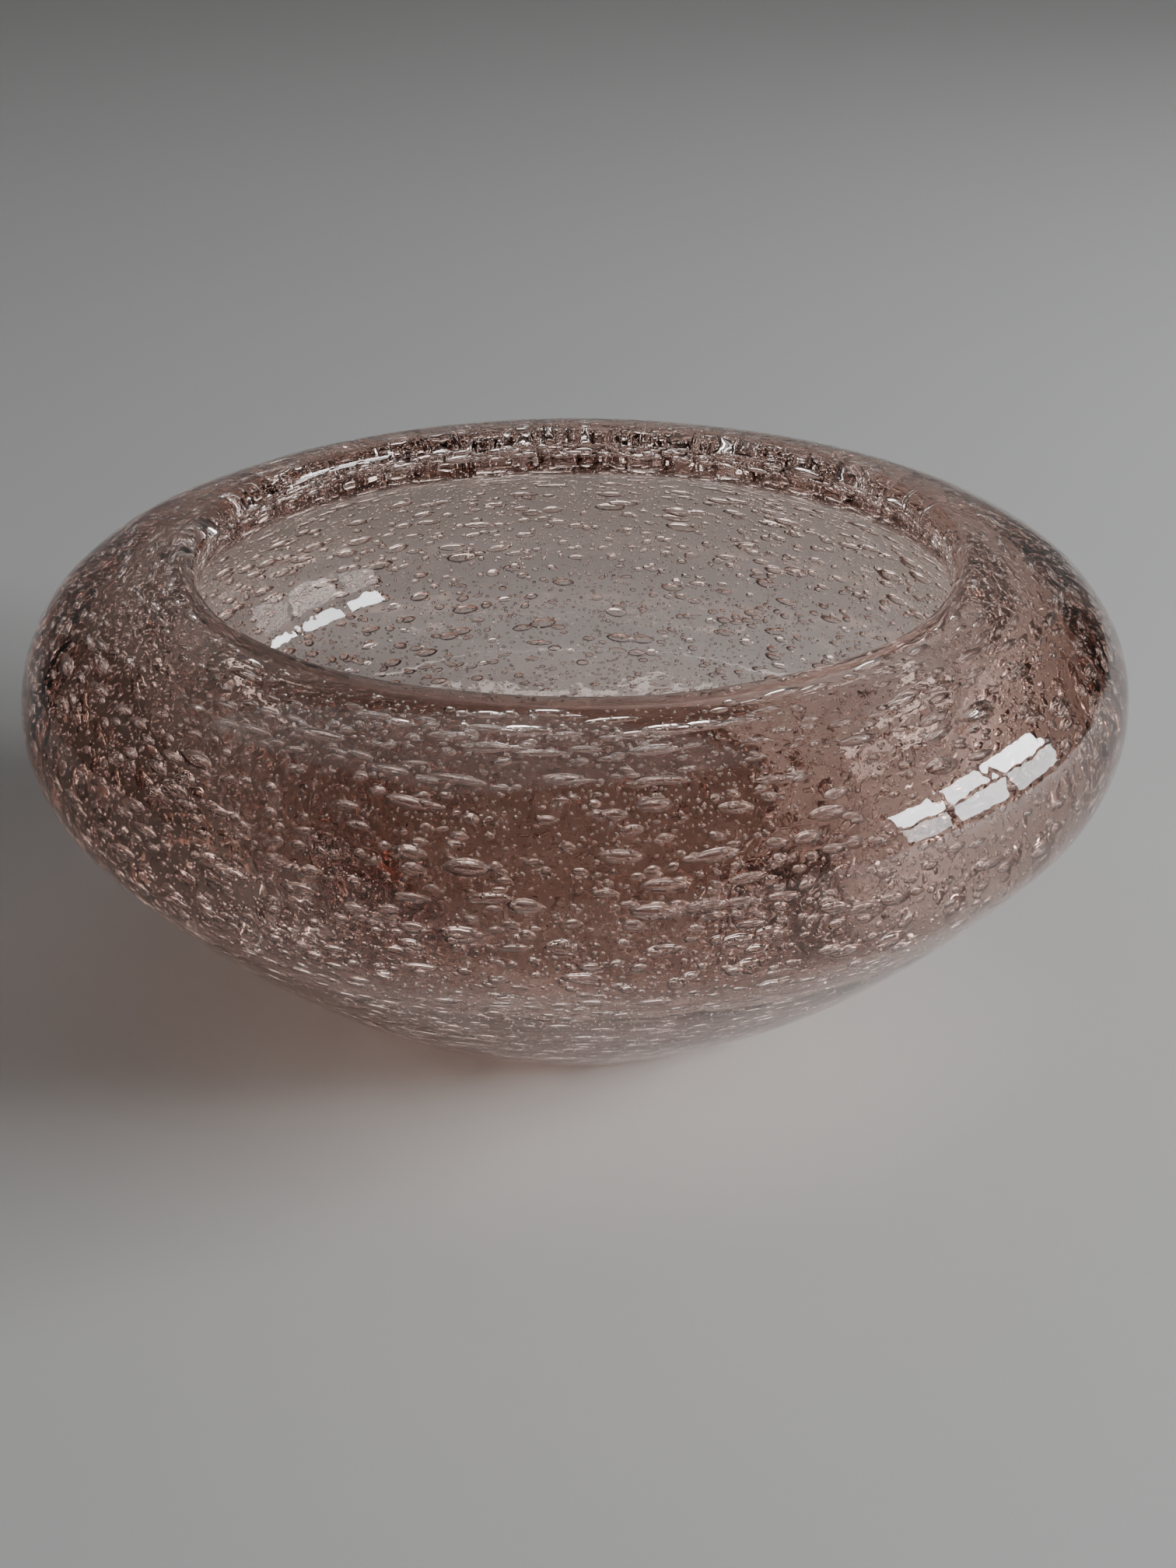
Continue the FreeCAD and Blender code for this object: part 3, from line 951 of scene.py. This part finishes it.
class BOWL_OT_round_bubbles(bpy.types.Operator):
    """Lay the short round bubbles between the drawn ones"""

    bl_idname = "bowl.round_bubbles"
    bl_label = "Round bubbles"
    bl_options = {"REGISTER", "UNDO"}

    def execute(self, context):
        shape = {
            "Spacing": context.scene.bubble_look.round_spacing, "Shortest": 0.3 * MM,
            "Longest": 1.15 * MM, "Height": 0.45, "Thickness": 0.8, "Tilt": 0.25
        }
        fill_zones(context, "round_bubbles", round_bubble("round_bubble", 2), shape, 12)
        return {"FINISHED"}


class BOWL_OT_seeds(bpy.types.Operator):
    """Lay the tiny seeds that lie thickly between the larger bubbles"""

    bl_idname = "bowl.seeds"
    bl_label = "Seeds"
    bl_options = {"REGISTER", "UNDO"}

    def execute(self, context):
        shape = {
            "Spacing": context.scene.bubble_look.seed_spacing, "Shortest": 0.12 * MM,
            "Longest": 0.34 * MM, "Height": 0.8, "Thickness": 0.85, "Tilt": 0.6
        }
        fill_zones(context, "seeds", round_bubble("seed", 1), shape, 13)
        return {"FINISHED"}


class BOWL_OT_shallow_seeds(bpy.types.Operator):
    """Lay a second lot of seeds close under the casing, where they catch the light"""

    bl_idname = "bowl.shallow_seeds"
    bl_label = "Shallow seeds"
    bl_options = {"REGISTER", "UNDO"}

    def execute(self, context):
        shape = {
            "Spacing": 0.95 * context.scene.bubble_look.seed_spacing,
            "Shortest": 0.12 * MM, "Longest": 0.42 * MM, "Height": 0.7, "Thickness": 0.85,
            "Tilt": 0.4, "Depth": 2.2 * MM
        }
        fill_zones(context, "shallow_seeds", round_bubble("seed", 1), shape, 14)
        return {"FINISHED"}


class BOWL_OT_stage(bpy.types.Operator):
    """Set the floor, the lights, the room and the camera"""

    bl_idname = "bowl.stage"
    bl_label = "Stage"
    bl_options = {"REGISTER", "UNDO"}

    def execute(self, context):
        look = context.scene.stage_look
        pale_floor(look)
        window_light(look)
        room_lights(look)
        world()
        camera()
        context.scene.cycles.max_bounces = LIGHT_BOUNCES
        context.scene.cycles.transmission_bounces = LIGHT_BOUNCES
        return {"FINISHED"}


class BOWL_PT_panel(bpy.types.Panel):
    """Lists the steps that build the bowl"""

    bl_idname = "BOWL_PT_panel"
    bl_label = "Bubble Glass Bowl"
    bl_space_type = "VIEW_3D"
    bl_region_type = "UI"
    bl_category = "Bowl"

    def draw(self, context):
        column = self.layout.column()
        for group in (context.scene.bowl_sizes, context.scene.bubble_look,
                      context.scene.stage_look):
            for name in group.__annotations__:
                column.prop(group, name)
        for step in STEPS:
            column.operator(step)


CLASSES = (
    BowlSizes,
    BubbleLook,
    StageLook,
    BOWL_OT_glass,
    BOWL_OT_drawn_bubbles,
    BOWL_OT_round_bubbles,
    BOWL_OT_seeds,
    BOWL_OT_shallow_seeds,
    BOWL_OT_stage,
    BOWL_PT_panel,
)
STEPS = (
    "bowl.glass", "bowl.drawn_bubbles", "bowl.round_bubbles", "bowl.seeds",
    "bowl.shallow_seeds", "bowl.stage"
)


def register():
    for item in CLASSES:
        bpy.utils.register_class(item)
    bpy.types.Scene.bowl_sizes = bpy.props.PointerProperty(type=BowlSizes)
    bpy.types.Scene.bubble_look = bpy.props.PointerProperty(type=BubbleLook)
    bpy.types.Scene.stage_look = bpy.props.PointerProperty(type=StageLook)


def unregister():
    del bpy.types.Scene.stage_look
    del bpy.types.Scene.bubble_look
    del bpy.types.Scene.bowl_sizes
    for item in reversed(CLASSES):
        bpy.utils.unregister_class(item)


def main():
    register()
    bpy.ops.bowl.glass()
    bpy.ops.bowl.drawn_bubbles()
    bpy.ops.bowl.round_bubbles()
    bpy.ops.bowl.seeds()
    bpy.ops.bowl.shallow_seeds()
    bpy.ops.bowl.stage()


if __name__ == "__main__":
    main()
